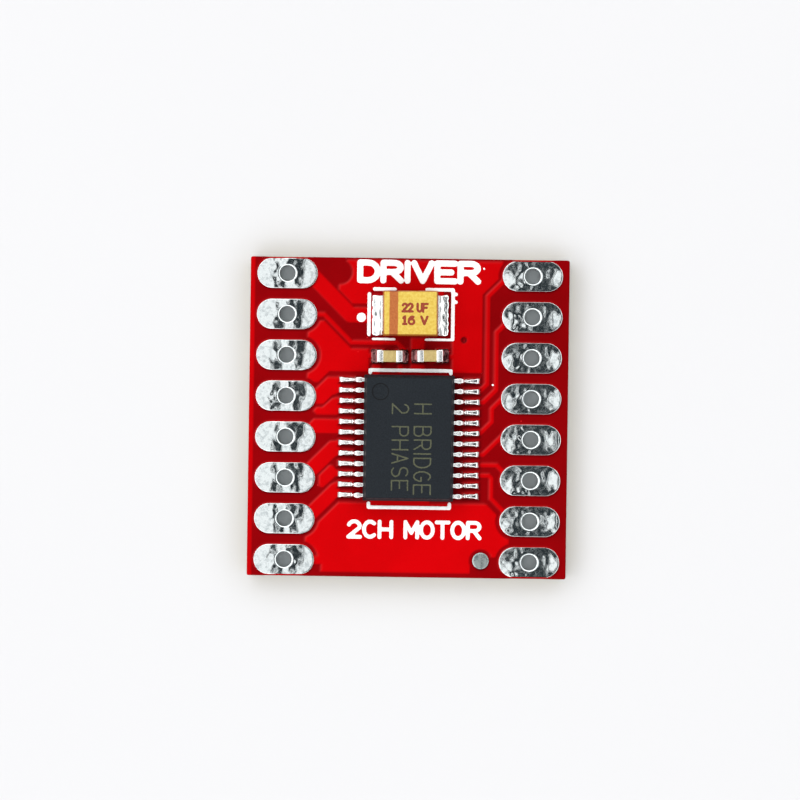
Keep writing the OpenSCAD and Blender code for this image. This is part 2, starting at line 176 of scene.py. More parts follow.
def srgb(*display):
    """Linear colour of an 8-bit display colour."""
    shares = [v / 255 for v in display]
    return tuple(v / 12.92 if v <= 0.04045 else ((v + 0.055) / 1.055) ** 2.4 for v in shares)


def speckled(name, dark, light, per_mm, rough, relief, metal, spec):
    """A finish that wanders between two colours, with fine grain in its relief."""
    f = Finish(name, metal, spec)
    f.colour(f.mix(f.span(f.noise(per_mm), 0.3, 0.7), dark, light))
    f.rough(f.span(f.noise(per_mm * 2.3), 0.3, 0.7, rough[0], rough[1]))
    f.bump(f.noise(per_mm * 5, 2.0), relief)
    return f


def mask_finish():
    f = Finish("red_mask", spec=0.02)
    copper = f.attribute("copper")
    wander = f.span(f.noise(0.35, 2.0), 0.3, 0.7)
    over_copper = f.mix(wander, srgb(186, 0, 4), srgb(194, 0, 5))
    over_laminate = f.mix(wander, srgb(126, 0, 4), srgb(136, 0, 5))
    base = f.mix(copper, over_laminate, over_copper)
    # Painted shade: the mask darkens by up to 14% toward the upper right, a painted falloff of the light
    # across the board
    across = f.math("ADD", f.math("MULTIPLY", f.axis(0), 0.7), f.math("MULTIPLY", f.axis(1), 0.6))
    base = f.mix(f.span(across, -4.0, 8.0), base, f.mix(1.0, base, (0.86, 0.86, 0.86), "MULTIPLY"))
    routed = f.span(f.axis(0), core_low[0] + 0.34, core_low[0] + 0.2)
    # Over the base: the over-copper red along the left edge, a painted highlight on the lit copper edges,
    # then painted shade
    for where, share, colour in ((routed, 0.75, over_copper), (f.attribute("lip"), 0.5, srgb(226, 70, 72)),
                                 (f.attribute("shade"), 0.9, srgb(46, 0, 4))):
        base = f.mix(f.math("MULTIPLY", where, share), base, colour)
    # Painted highlights: small pale specks scattered over the mask
    speck_highlight = f.span(f.cells(0.9), 0.035, 0.02)
    f.colour(f.mix(speck_highlight, base, srgb(226, 40, 44)))
    f.rough(f.span(f.noise(6.0), 0.3, 0.7, 0.34, 0.46))
    fine = f.bump(f.noise(1.6, 2.0), 0.012)
    f.bump(f.noise(14.0, 2.0), 0.0015, chain=fine)
    return f


def tin_finish(name, dark, light, rough, dents):
    """Bright tinned metal: mottled crystals, darker patches that are partly a dull coating and partly painted
    reflection, fine dents.
    """
    f = Finish(name, metal=1.0)
    grain = f.cells(7.0)
    # Darker patches: partly a dull coating, partly painted reflection
    film_and_reflection = f.span(f.noise(3.2, 4.0, 0.65), 0.46, 0.66)
    colour = f.mix(film_and_reflection, light, dark)
    f.colour(f.mix(f.span(grain, 0.1, 0.75), colour, f.mix(1.0, colour, (0.95, 0.955, 0.96), "MULTIPLY")))
    f.rough(f.span(f.noise(5.0, 3.0), 0.35, 0.65, rough[0], rough[1]))
    broad = f.bump(f.noise(2.0, 4.0, 0.6), dents[0])
    f.bump(f.noise(11.0, 2.0), dents[1], chain=broad)
    return f


def chip_finish():
    f = Finish("chip_epoxy", spec=0.16)
    grain = f.noise(16.0, 3.0, 0.7)
    base = f.mix(f.span(grain, 0.35, 0.65), srgb(17, 22, 27), srgb(29, 35, 41))
    # Painted shade: the dimple's steep wall is painted near black
    f.colour(f.mix(f.attribute("dimple"), base, srgb(4, 6, 9)))
    f.rough(f.span(f.noise(9.0), 0.3, 0.7, 0.5, 0.68))
    broad = f.bump(f.noise(0.8, 2.0), 0.03)
    f.bump(grain, 0.012, chain=broad)
    return f


def tantalum_finish(stripe, bevel):
    """Yellow moulding with one baked orange stripe across it and warmer edges."""
    f = Finish("yellow_epoxy", spec=0.35)
    grain = f.noise(7.0, 3.0)
    body = f.mix(f.span(grain, 0.3, 0.7), srgb(201, 166, 60), srgb(214, 188, 88))
    wobble = f.math("MULTIPLY", f.math("SUBTRACT", f.noise(3.0, 2.0), 0.5), 0.06)
    x = f.math("ADD", f.axis(0), wobble)
    band = f.math("MULTIPLY", f.span(x, stripe[0] - 0.03, stripe[0] + 0.03),
                  f.span(x, stripe[1] + 0.03, stripe[1] - 0.03))
    orange = f.mix(f.span(f.noise(9.0), 0.3, 0.7), srgb(162, 86, 34), srgb(178, 102, 46))
    colour = f.mix(band, body, orange)
    f.colour(f.mix(f.attribute("side"), colour, f.mix(1.0, colour, bevel, "MULTIPLY")))
    f.rough(f.span(f.noise(5.0), 0.3, 0.7, 0.42, 0.58))
    f.bump(grain, 0.01)
    return f


def laminate_finish():
    """Glass cloth in epoxy: fine layers down the edge, a weave across the faces."""
    f = Finish("laminate", spec=0.35)
    layers = f.noise(1.0, 2.0, 0.5, (0.6, 0.6, 9.0))
    weave = f.noise(2.2, 2.0, 0.5)
    base = f.mix(f.span(layers, 0.3, 0.7), srgb(150, 130, 72), srgb(201, 186, 128))
    f.colour(f.mix(f.span(weave, 0.4, 0.7, 0.0, 0.35), base, srgb(222, 212, 170)))
    f.rough(f.span(weave, 0.3, 0.7, 0.5, 0.75))
    f.bump(layers, 0.03)
    return f


def finish(look):
    return FINISHES[look].mat


# ---- Fields on a grid, and closed sheets made from them ----

# Share of a cell by which a grid starts outside its box, so that no line runs along a CAD edge
GRID_SHIFT = 0.37
LEVEL_TOL = 0.003


class Grid:
    def __init__(self, low, high, cell):
        self.cell = cell
        self.xs = np.arange(low[0] - GRID_SHIFT * cell, high[0] + cell, cell)
        self.ys = np.arange(low[1] - GRID_SHIFT * cell, high[1] + cell, cell)
        self.X, self.Y = np.meshgrid(self.xs, self.ys)

    def distance(self, segments, reach):
        """Distance to the nearest of the segments, no more than reach."""
        out = np.full(self.X.shape, float(reach))
        for (ax, ay), (bx, by) in segments:
            i = np.searchsorted(self.xs, (min(ax, bx) - reach, max(ax, bx) + reach))
            j = np.searchsorted(self.ys, (min(ay, by) - reach, max(ay, by) + reach))
            w = slice(*j), slice(*i)
            x, y = self.X[w] - ax, self.Y[w] - ay
            if not x.size:
                continue
            dx, dy = bx - ax, by - ay
            t = np.clip((x * dx + y * dy) / (dx * dx + dy * dy + 1e-12), 0, 1)
            out[w] = np.minimum(out[w], np.hypot(x - t * dx, y - t * dy))
        return out

    def inside(self, segments):
        """Whether each grid point is inside the closed loops that the segments make."""
        odd = np.zeros(self.X.shape, bool)
        for (ax, ay), (bx, by) in segments:
            if ay == by:
                continue
            rows = (self.ys > min(ay, by)) & (self.ys <= max(ay, by))
            cross = ax + (self.ys[rows] - ay) / (by - ay) * (bx - ax)
            odd[rows] ^= self.xs[None, :] > cross[:, None]
        return odd

    def signed(self, segments, reach=0.4):
        return np.where(self.inside(segments), 1, -1) * self.distance(segments, reach)

    def sample(self, values, x, y):
        """Values of a grid array at any points, by bilinear interpolation."""
        u = np.clip((x - self.xs[0]) / self.cell, 0, len(self.xs) - 1.001)
        v = np.clip((y - self.ys[0]) / self.cell, 0, len(self.ys) - 1.001)
        i, j = u.astype(int), v.astype(int)
        u, v = u - i, v - j
        return ((values[j, i] * (1 - u) + values[j, i + 1] * u) * (1 - v)
                + (values[j + 1, i] * (1 - u) + values[j + 1, i + 1] * u) * v)


def outline(node, level):
    """Segments round the flat faces that a CAD node has at one height."""
    mesh = frame["nodes"][node].data
    co = np.array([v.co for v in mesh.vertices]) / MM
    used = {}
    for poly in mesh.polygons:
        if all(abs(co[i][2] - level) < LEVEL_TOL for i in poly.vertices):
            ring = [tuple(np.round(co[i][:2], 4)) for i in poly.vertices]
            for a, b in zip(ring, ring[1:] + ring[:1]):
                key = (a, b) if a < b else (b, a)
                used[key] = used.get(key, 0) + 1
    return [key for key, times in used.items() if times == 1]


def ease(t):
    t = np.clip(t, 0, 1)
    return t * t * (3 - 2 * t)


def round_over(t):
    """Quarter-round profile from 0 to 1."""
    return np.sqrt(1 - (1 - np.clip(t, 0, 1)) ** 2)


def ripple(x, y, length, seed=0.0):
    """Smooth irregular wave between about -1 and 1, with humps of about one length."""
    k = 2 * math.pi / length
    total = 0.0
    for n in range(5):
        a = seed * 1.7 + n * 2.399
        f = k * (0.7 + 0.17 * n)
        total = total + np.sin(f * (x * math.cos(a) + y * math.sin(a)) + seed * 5.1 + n * 1.3
                               + 0.8 * np.sin(0.6 * f * (x * math.sin(a) - y * math.cos(a)) + seed))
    return total / 3.2


def swung(x, y, centre, angle):
    """A point given from a centre, after a turn about it."""
    c, s = math.cos(angle), math.sin(angle)
    return centre[0] + c * x - s * y, centre[1] + s * x + c * y


def placed(name, data):
    obj = bpy.data.objects.new(name, data)
    bpy.context.scene.collection.objects.link(obj)
    return obj


def mesh_object(name, verts, faces, material, values=None):
    mesh = bpy.data.meshes.new(name)
    mesh.from_pydata([Vector(v) * MM for v in verts], [], faces)
    mesh.validate()
    mesh.polygons.foreach_set("use_smooth", [True] * len(mesh.polygons))
    for key, data in (values or {}).items():
        mesh.attributes.new(key, "FLOAT", "POINT").data.foreach_set("value", np.asarray(data, np.float32))
    mesh.materials.append(material)
    return placed(name, mesh)


def sheet_mesh(grid, keep, high, low, values=None):
    """Closed sheet where keep is positive, its edge cut along keep = 0."""
    values = values or {}
    kept = keep > 0
    stack = np.stack([grid.X, grid.Y, high, low] + [values[k] for k in values], -1)
    number = {}
    rows = []

    def corner(j, i):
        if (j, i) not in number:
            number[(j, i)] = len(rows)
            rows.append(stack[j, i])
        return number[(j, i)]

    def crossing(a, b):
        key = (a, b) if a < b else (b, a)
        if key not in number:
            fa, fb = keep[key[0]], keep[key[1]]
            t = fa / (fa - fb)
            number[key] = len(rows)
            rows.append(stack[key[0]] * (1 - t) + stack[key[1]] * t)
        return number[key]

    faces = []
    count = kept[:-1, :-1].astype(int) + kept[1:, :-1] + kept[:-1, 1:] + kept[1:, 1:]
    for j, i in zip(*np.nonzero(count)):
        j, i = int(j), int(i)
        ring = [(j, i), (j, i + 1), (j + 1, i + 1), (j + 1, i)]
        if count[j, i] == 4:
            faces.append([corner(*p) for p in ring])
            continue
        face = []
        for a, b in zip(ring, ring[1:] + ring[:1]):
            if kept[a]:
                face.append(corner(*a))
            if kept[a] != kept[b]:
                face.append(crossing(a, b))
        faces.append(face)
    data = np.array(rows)
    n = len(data)
    used = dict.fromkeys((a, b) for face in faces for a, b in zip(face, face[1:] + face[:1]))
    walls = [(b, a, a + n, b + n) for a, b in used if (b, a) not in used]
    verts = np.concatenate([data[:, [0, 1, 2]], data[:, [0, 1, 3]]])
    under = [[v + n for v in reversed(face)] for face in faces]
    extra = {key: np.tile(data[:, 4 + k], 2) for k, key in enumerate(values)}
    return verts, faces + under + walls, extra


def piece(name, verts, faces, look, nodes=(), values=None):
    """A mesh with its look, body and slot, that stands in for the named CAD nodes."""
    obj = mesh_object(name, verts, faces, finish(look), values)
    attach(obj, BODY)
    if nodes:
        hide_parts(*nodes)
    return obj


def sheet(name, look, grid, keep, high, low, nodes=(), values=None):
    verts, faces, extra = sheet_mesh(grid, keep, high, low, values)
    piece(name, verts, faces, look, nodes, extra)


# ---- Letters drawn as strokes ----

def arc(cx, cy, rx, ry, a, b, steps=10):
    turn = [math.radians(a + (b - a) * k / steps) for k in range(steps + 1)]
    return [(cx + rx * math.cos(t), cy + ry * math.sin(t)) for t in turn]


GLYPHS = {
    "A": [[(0, 0), (0.5, 1), (1, 0)], [(0.2, 0.35), (0.8, 0.35)]],
    "B": [[(0, 0), (0, 1)] + arc(0.6, 0.76, 0.32, 0.24, 90, -90) + [(0, 0.52)],
          [(0.6, 0.52)] + arc(0.66, 0.26, 0.34, 0.26, 90, -90) + [(0, 0)]],
    "C": [arc(0.52, 0.5, 0.52, 0.5, 48, 312)],
    "D": [[(0, 0), (0, 1)] + arc(0.45, 0.5, 0.55, 0.5, 90, -90) + [(0, 0)]],
    "E": [[(1, 1), (0, 1), (0, 0), (1, 0)], [(0, 0.5), (0.8, 0.5)]],
    "F": [[(1, 1), (0, 1), (0, 0)], [(0, 0.5), (0.8, 0.5)]],
    "G": [arc(0.52, 0.5, 0.52, 0.5, 48, 340) + [(1, 0.45), (0.6, 0.45)]],
    "H": [[(0, 0), (0, 1)], [(1, 0), (1, 1)], [(0, 0.5), (1, 0.5)]],
    "I": [[(0.5, 0), (0.5, 1)]],
    "M": [[(0, 0), (0, 1), (0.5, 0.3), (1, 1), (1, 0)]],
    "O": [arc(0.5, 0.5, 0.5, 0.5, 0, 360, 24)],
    "P": [[(0, 0), (0, 1)] + arc(0.6, 0.74, 0.38, 0.26, 90, -90) + [(0, 0.48)]],
    "R": [[(0, 0), (0, 1)] + arc(0.6, 0.74, 0.38, 0.26, 90, -90) + [(0, 0.48)], [(0.5, 0.48), (1, 0)]],
    "S": [arc(0.5, 0.75, 0.46, 0.25, 35, 270) + arc(0.5, 0.25, 0.48, 0.25, 90, -145)],
    "T": [[(0, 1), (1, 1)], [(0.5, 1), (0.5, 0)]],
    "U": [[(0, 1)] + arc(0.5, 0.38, 0.5, 0.38, 180, 360) + [(1, 1)]],
    "V": [[(0, 1), (0.5, 0), (1, 1)]],
    "0": [arc(0.5, 0.5, 0.46, 0.5, 0, 360, 24)],
    "1": [[(0.2, 0.78), (0.55, 1), (0.55, 0)], [(0.2, 0), (0.9, 0)]],
    "2": [arc(0.5, 0.7, 0.46, 0.3, 165, -25) + [(0, 0), (1, 0)]],
    "3": [arc(0.45, 0.76, 0.42, 0.24, 140, -90), arc(0.45, 0.26, 0.48, 0.26, 90, -140)],
    "4": [[(0.75, 0), (0.75, 1), (0, 0.3), (1, 0.3)]],
    "5": [[(0.9, 1), (0.1, 1), (0.05, 0.55)] + arc(0.45, 0.33, 0.5, 0.33, 115, -140)],
    "6": [arc(0.5, 0.32, 0.46, 0.32, 0, 360, 20), [(0.04, 0.35), (0.16, 0.72), (0.5, 0.97), (0.82, 0.95)]],
    "7": [[(0, 1), (1, 1), (0.35, 0)]],
    "8": [arc(0.5, 0.76, 0.38, 0.24, 0, 360, 18), arc(0.5, 0.27, 0.46, 0.27, 0, 360, 18)],
    "9": [arc(0.5, 0.68, 0.46, 0.32, 0, 360, 20), [(0.96, 0.65), (0.84, 0.28), (0.5, 0.03), (0.18, 0.05)]],
}
NARROW = {"I": 0.1, " ": 0.55, "1": 0.7}


def lettering(text, low, high, stroke, gap=0.32):
    """Centrelines of the text, filling the box from its lowest to its highest corner."""
    wide = [NARROW.get(c, 1.0) for c in text]
    width, height = high[0] - low[0] - stroke, high[1] - low[1] - stroke
    unit = width / (sum(wide) + gap * (len(text) - 1))
    x = low[0] + stroke / 2
    segments = []
    for c, w in zip(text, wide):
        for line in GLYPHS.get(c, []):
            pts = [(x + unit * w * px, low[1] + stroke / 2 + height * py) for px, py in line]
            segments += list(zip(pts, pts[1:]))
        x += unit * (w + gap)
    return segments


def turned(segments, centre, angle, flip=False):
    """Segments turned about a point, and mirrored left to right first if flip."""
    side = -1 if flip else 1
    return [tuple(swung(side * x, y, centre, angle) for x, y in segment) for segment in segments]


# ---- Finishes ----

BULK_LOW, BULK_HIGH = box("bulk_capacitor_body")
STRIPE = (BULK_LOW[0] + 0.42, BULK_LOW[0] + 0.95)
# Bright metals: darker and lighter colour, range of roughness, depth of broad and fine dents
TINS = {
    "tinned": ((0.6, 0.65, 0.66), (0.85, 0.9, 0.9), (0.05, 0.1), (0.0015, 0.00025)),
    "solder": ((0.84, 0.87, 0.87), (0.97, 0.98, 0.97), (0.08, 0.14), (0.0006, 0.0)),
    # Solder painted dark red: a painted reflection of the dark surroundings and the red mask
    "solder_painted_reflection": ((0.05, 0.012, 0.012), (0.2, 0.08, 0.08), (0.06, 0.14), (0.01, 0.001)),
    "dull_tin": ((0.2, 0.25, 0.25), (0.4, 0.45, 0.44), (0.26, 0.38), (0.004, 0.001)),
    "lead_plating": ((0.88, 0.9, 0.9), (0.97, 0.98, 0.97), (0.22, 0.3), (0.0005, 0.0)),
    "nickel": ((0.78, 0.78, 0.76), (0.93, 0.93, 0.91), (0.2, 0.4), (0.004, 0.001)),
}
# Speckled looks: darker and lighter colour, grain per mm, range of roughness, relief, metal, specular
SPECKLES = {
    "white_ink": (srgb(240, 240, 240), srgb(253, 252, 252), 3.0, (0.45, 0.6), 0.006, 0.0, 0.3),
    "copper": ((0.42, 0.34, 0.3), (0.56, 0.47, 0.42), 2.0, (0.25, 0.4), 0.004, 1.0, 0.5),
    "lead_frame": ((0.7, 0.42, 0.28), (0.85, 0.55, 0.38), 3.0, (0.3, 0.45), 0.004, 1.0, 0.5),
    "die_attach": ((0.45, 0.45, 0.46), (0.6, 0.6, 0.62), 8.0, (0.45, 0.6), 0.004, 0.6, 0.5),
    "silicon": ((0.12, 0.13, 0.17), (0.2, 0.21, 0.26), 5.0, (0.1, 0.2), 0.001, 0.7, 0.5),
    "gold": ((0.9, 0.66, 0.26), (1.0, 0.8, 0.38), 12.0, (0.15, 0.28), 0.001, 1.0, 0.5),
    "tantalum": ((0.1, 0.1, 0.11), (0.22, 0.22, 0.24), 14.0, (0.55, 0.8), 0.02, 0.6, 0.5),
    "ceramic": (srgb(176, 153, 96), srgb(192, 172, 112), 9.0, (0.35, 0.5), 0.004, 0.0, 0.4),
    "chip_marking": (srgb(68, 72, 56), srgb(88, 90, 70), 14.0, (0.6, 0.8), 0.004, 0.0, 0.2),
    "brown_print": (srgb(128, 42, 24), srgb(150, 64, 38), 11.0, (0.5, 0.7), 0.004, 0.0, 0.3),
}
FINISHES = {"red_mask": mask_finish(), "laminate": laminate_finish(), "chip_epoxy": chip_finish(),
            "yellow_epoxy": tantalum_finish(STRIPE, srgb(216, 150, 96))}
FINISHES.update((name, tin_finish(name, *row)) for name, row in TINS.items())
FINISHES.update((name, speckled(name, *row)) for name, row in SPECKLES.items())

SLOT_OF = {row["node"]: row["material_slot"] for row in frame["record"]["subparts"]}
for node, obj in frame["nodes"].items():
    obj.data.materials.clear()
    obj.data.materials.append(finish(SLOT_OF[node]))


# ---- Solder mask: a coat that follows the copper ----

CHIP_LOW, CHIP_HIGH = box("driver_chip_body")
CHIP_MID = (CHIP_LOW + CHIP_HIGH) / 2
COAT_T = 0.5 * (MASK_T + COPPER_T) / 2 + 0.004
STEP_W = 0.055
# Side facing the light, whose copper edges get a painted highlight
HIGHLIGHT_SIDE = (-0.8, 0.6)
# Gap between a land and the mask, what a part's pads have more, and where those pads lie
GAP, PART_GAP = 0.03, 0.05
PARTS_X, PARTS_Y = 4.9, -6.5
# Mask that always runs past the lands along the board's edge
EDGE_STRIP = 0.1
# Radius of the dark ring painted as shade over the covered via
VIA_R = 0.14
via_ends = np.array(outline("plated_vias", TOP + COPPER_T)).reshape(-1, 2)
via_ends = via_ends[via_ends[:, 0] > CHIP_HIGH[0]]
# The one via that no part covers
SEEN_VIA = (via_ends.min(0) + via_ends.max(0)) / 2
TERMINALS = [f"pin_terminal_{side}_{n + 1}" for side in SIDES for n in range(PINS)]


def oblong(node):
    """Centre, half length of the straight part and radius of a terminal's land."""
    low, high = box(node)
    r = (high[1] - low[1]) / 2
    return (low + high) / 2, (high[0] - low[0]) / 2 - r, r


def box_keep(x, y, half_x, half_y, r):
    """Signed distance inside a rounded rectangle centred at the origin."""
    qx, qy = abs(x) - half_x + r, abs(y) - half_y + r
    return r - np.hypot(np.maximum(qx, 0), np.maximum(qy, 0)) - np.minimum(np.maximum(qx, qy), 0)


def copper_fill(grid, face, level):
    """1 over copper, 0 over bare laminate, easing across the copper's edges."""
    inside = [grid.signed(outline(node, level)) for node in (face, "plated_vias")]
    for node in TERMINALS:
        c, half, r = oblong(node)
        inside.append(r - np.hypot(np.maximum(abs(grid.X - c[0]) - half, 0), grid.Y - c[1]))
    return np.clip(sum(ease(0.5 + d / (2 * STEP_W)) for d in inside), 0, 1)


def coat(name, node, grid, face, surface, up):
    """Solder mask on one face: thin over laminate, lifted over copper, thinned at openings."""
    fill = copper_fill(grid, face, surface + up * COPPER_T)
    in_board = box_keep(grid.X, grid.Y, core_high[0], core_high[1], 0.1)
    near_parts = (abs(grid.X) < PARTS_X) & (grid.Y > PARTS_Y)
    keep = grid.signed(outline(node, surface + up * MASK_T)) + GAP + PART_GAP * near_parts
    keep = np.where(in_board < 0, in_board, np.maximum(keep, EDGE_STRIP - in_board))
    rim = 0.35 + 0.65 * round_over(keep / 0.09)
    sag = 0.002 * ripple(grid.X, grid.Y, 1.9, 2.0) * (1 - fill)
    thick = (MASK_T - COPPER_T + (COAT_T - MASK_T + COPPER_T) * (1 - fill)) * rim
    outer = surface + up * (COPPER_T * fill + thick + sag)
    outer = np.minimum(outer, surface + MASK_T) if up > 0 else np.maximum(outer, surface - MASK_T)
    inner = surface + up * COPPER_T * fill
    high, low = (outer, inner) if up > 0 else (inner, outer)
    # Painted highlight: the copper's edges that face the light are marked "lip" and painted pale
    down_y, down_x = np.gradient(-fill, grid.cell)
    lip = np.clip((down_x * HIGHLIGHT_SIDE[0] + down_y * HIGHLIGHT_SIDE[1]) * STEP_W * 0.9, 0, 1)
    away_y, away_x = np.gradient(keep, grid.cell)
    shade = np.exp(-(keep / (0.09 + 0.06 * near_parts)) ** 2)
    shade *= np.clip(0.4 * away_x - 0.9 * away_y + 0.5 * near_parts, 0, 1) * (in_board > 0.2)
    if up > 0:
        # Painted shadow of the chip body on the mask beside its leads, stronger on the right
        chip_shadow = np.where(grid.X > 0, 0.7, 0.3) * np.exp(-((abs(grid.X) - CHIP_HIGH[0]) / 0.45) ** 2)
        past_end = CHIP_HIGH[1] - CHIP_LOW[1] - 2 * abs(grid.Y - CHIP_MID[1])
        shade = np.maximum(shade, chip_shadow * ease(past_end / 0.2))
        # Painted shade: a dark ring over the covered via
        ring = np.hypot(grid.X - SEEN_VIA[0], grid.Y - SEEN_VIA[1]) - VIA_R
        shade = np.maximum(shade, np.exp(-(ring / 0.06) ** 2))
    values = {"copper": fill, "lip": lip, "shade": shade}
    sheet(name, "red_mask", grid, keep, high, low, (node,), values)
    return outer


TOP_GRID = Grid(core_low, core_high, 0.08)
UNDER_GRID = Grid(core_low, core_high, 0.14)
mask_top = coat("solder_mask_top", "top_solder_mask", TOP_GRID, "top_copper", TOP, 1)
mask_under = coat("solder_mask_under", "bottom_solder_mask", UNDER_GRID, "bottom_copper", UNDER, -1)


# ---- Printed ink ----

def ink(name, look, low, high, cell, keep_of, base_of, thick, up=1, nodes=()):
    """Print that lies on a base surface, with a rounded and slightly ragged edge."""
    grid = Grid(low, high, cell)
    keep = keep_of(grid)
    keep = np.where(keep > -0.3, keep + 0.009 * ripple(grid.X, grid.Y, 0.16, 1.0), keep)
    base = base_of(grid)
    outer = base + up * thick * (0.25 + 0.75 * round_over(keep / (1.2 * cell)))
    top, bottom = (outer, base) if up > 0 else (base, outer)
    sheet(name, look, grid, keep, top, bottom, nodes)


def stroke_keep(grid, segments, width):
    return width / 2 - grid.distance(segments, width / 2 + 0.1)


# Lines of text on the board: words, lowest corner, highest corner, stroke
BOARD_TEXT = (("DRIVER", (-3.3, 8.32), (4.4, 9.8), 0.38), ("2CH MOTOR", (-3.75, -7.55), (4.65, -6.35), 0.24))
# Loose drops of ink: x, y, radius
INK_DROPS = ((4.58, 9.32, 0.07), (5.22, 2.1, 0.07))


def top_ink_keep(grid):
    keep = grid.signed(outline("top_silkscreen", TOP + MASK_T + INK_T))
    for text, low, high, w in BOARD_TEXT:
        keep = np.maximum(keep, stroke_keep(grid, lettering(text, low, high, w), w))
    for x, y, r in INK_DROPS:
        keep = np.maximum(keep, r - np.hypot(grid.X - x, grid.Y - y))
    return keep


ink("print_top", "white_ink", (-4.0, -7.8), (5.5, 9.85), 0.055, top_ink_keep,
    lambda g: TOP_GRID.sample(mask_top, g.X, g.Y), INK_T, 1, ("top_silkscreen",))


# Pin numbers of the underside: height, width of a digit, gap, stroke, distance from the land
NUMBER_H, NUMBER_W, NUMBER_GAP, NUMBER_STROKE, NUMBER_IN = 1.0, 0.62, 0.2, 0.16, 1.6


def under_ink_keep(grid):
    keep = grid.signed(outline("bottom_silkscreen", UNDER - MASK_T - INK_T))
    for side, sign in SIDES.items():
        for n in range(PINS):
            c, half, r = oblong(f"pin_terminal_{side}_{n + 1}")
            text = str(n + 1 if sign < 0 else 2 * PINS - n)
            w = NUMBER_W * len(text) + NUMBER_GAP * (len(text) - 1)
            x = c[0] - sign * (half + r + NUMBER_IN)
            line = lettering(text, (-w / 2, -NUMBER_H / 2), (w / 2, NUMBER_H / 2), NUMBER_STROKE, 0.3)
            keep = np.maximum(keep, stroke_keep(grid, turned(line, (x, c[1]), 0.0, True), NUMBER_STROKE))
    return keep


ink("print_under", "white_ink", (-5.6, -9.7), (5.6, 9.7), 0.06, under_ink_keep,
    lambda g: UNDER_GRID.sample(mask_under, g.X, g.Y), INK_T, -1, ("bottom_silkscreen",))


# ---- Tinned lands with their plated holes ----

def ring_mesh(rings, close=True):
    """Faces between rings of equal length; the last joins the first if close."""
    n, total = len(rings[0]), len(rings)
    verts = [p for ring in rings for p in ring]
    faces = []
    for k in range(total if close else total - 1):
        a, b = k * n, ((k + 1) % total) * n
        for i in range(n):
            j = (i + 1) % n
            faces.append((a + i, a + j, b + j, b + i))
    return verts, faces


def capped(rings):
    """A run of rings, closed with a face over its first and its last one."""
    verts, faces = ring_mesh(rings, False)
    n = len(rings[0])
    return verts, faces + [tuple(reversed(range(n))), tuple(range(len(verts) - n, len(verts)))]


def oblong_points(half, r, count):
    """Points round an oblong at even spacing, starting at +X."""
    quarter = math.pi * r / 2
    # Its runs: length, then an arc's centre and start angle, or no centre and the side of a straight
    runs = ((quarter, half, 0.0), (2 * half, None, 1), (2 * quarter, -half, math.pi / 2),
            (2 * half, None, -1), (quarter, half, 1.5 * math.pi))
    pts = []
    for k in range(count):
        s = (4 * half + 4 * quarter) * k / count
        for run, centre, start in runs:
            if s < run:
                break
            s -= run
        if centre is None:
            pts.append((start * (half - s), start * r))
        else:
            a = start + s / r
            pts.append((centre + r * math.cos(a), r * math.sin(a)))
    return pts


HOLE_R = frame["record"]["mounts"][0]["dims"]["r_mm"]
BARREL_T = 0.05
RIM = 0.055
# Solder humps on a land: along, across, length of the back, run down toward +X, half width, height
HUMPS = {
    "left": ((0.04, 0.5, 0.2, 1.1, 0.6, 1.05), (-0.9, -0.62, 0.26, 0.7, 0.4, 0.68),
             (-0.86, 0.5, 0.2, 0.76, 0.42, 0.72), (0.34, -0.5, 0.1, 0.5, 0.48, 0.48)),
    "right": ((-1.02, -0.26, 0.36, 0.8, 0.42, 0.72), (1.8, -0.05, 0.34, 0.4, 0.52, 0.8),
              (-0.74, 0.35, 0.1, 0.2, 0.36, 0.07), (0.98, 0.3, 0.09, 0.2, 0.32, 0.09),
              (-0.36, 0.64, 0.09, 0.15, 0.14, 0.12), (0.0, -0.68, 0.08, 0.12, 0.1, 0.08)),
}
# Least and most by which a hump's height is multiplied from land to land
HUMP_SPREAD = {"left": (0.92, 1.1), "right": (0.7, 1.15)}
RIPPLE = 0.009
# Solder's usual height and the height of a whole hump, as shares of the land's thickness
SOLDER_BASE, HUMP_H = 0.32, 0.6
LAND_POINTS, LAND_RINGS = 112, 18
# Hole edge from the land's surface into the barrel, each (step inwards, step down)
KNEE = ((0.012, 0.003), (0.03, 0.012), (0.052, 0.025), (0.07, 0.038), (0.08, 0.054), (0.085, 0.08))


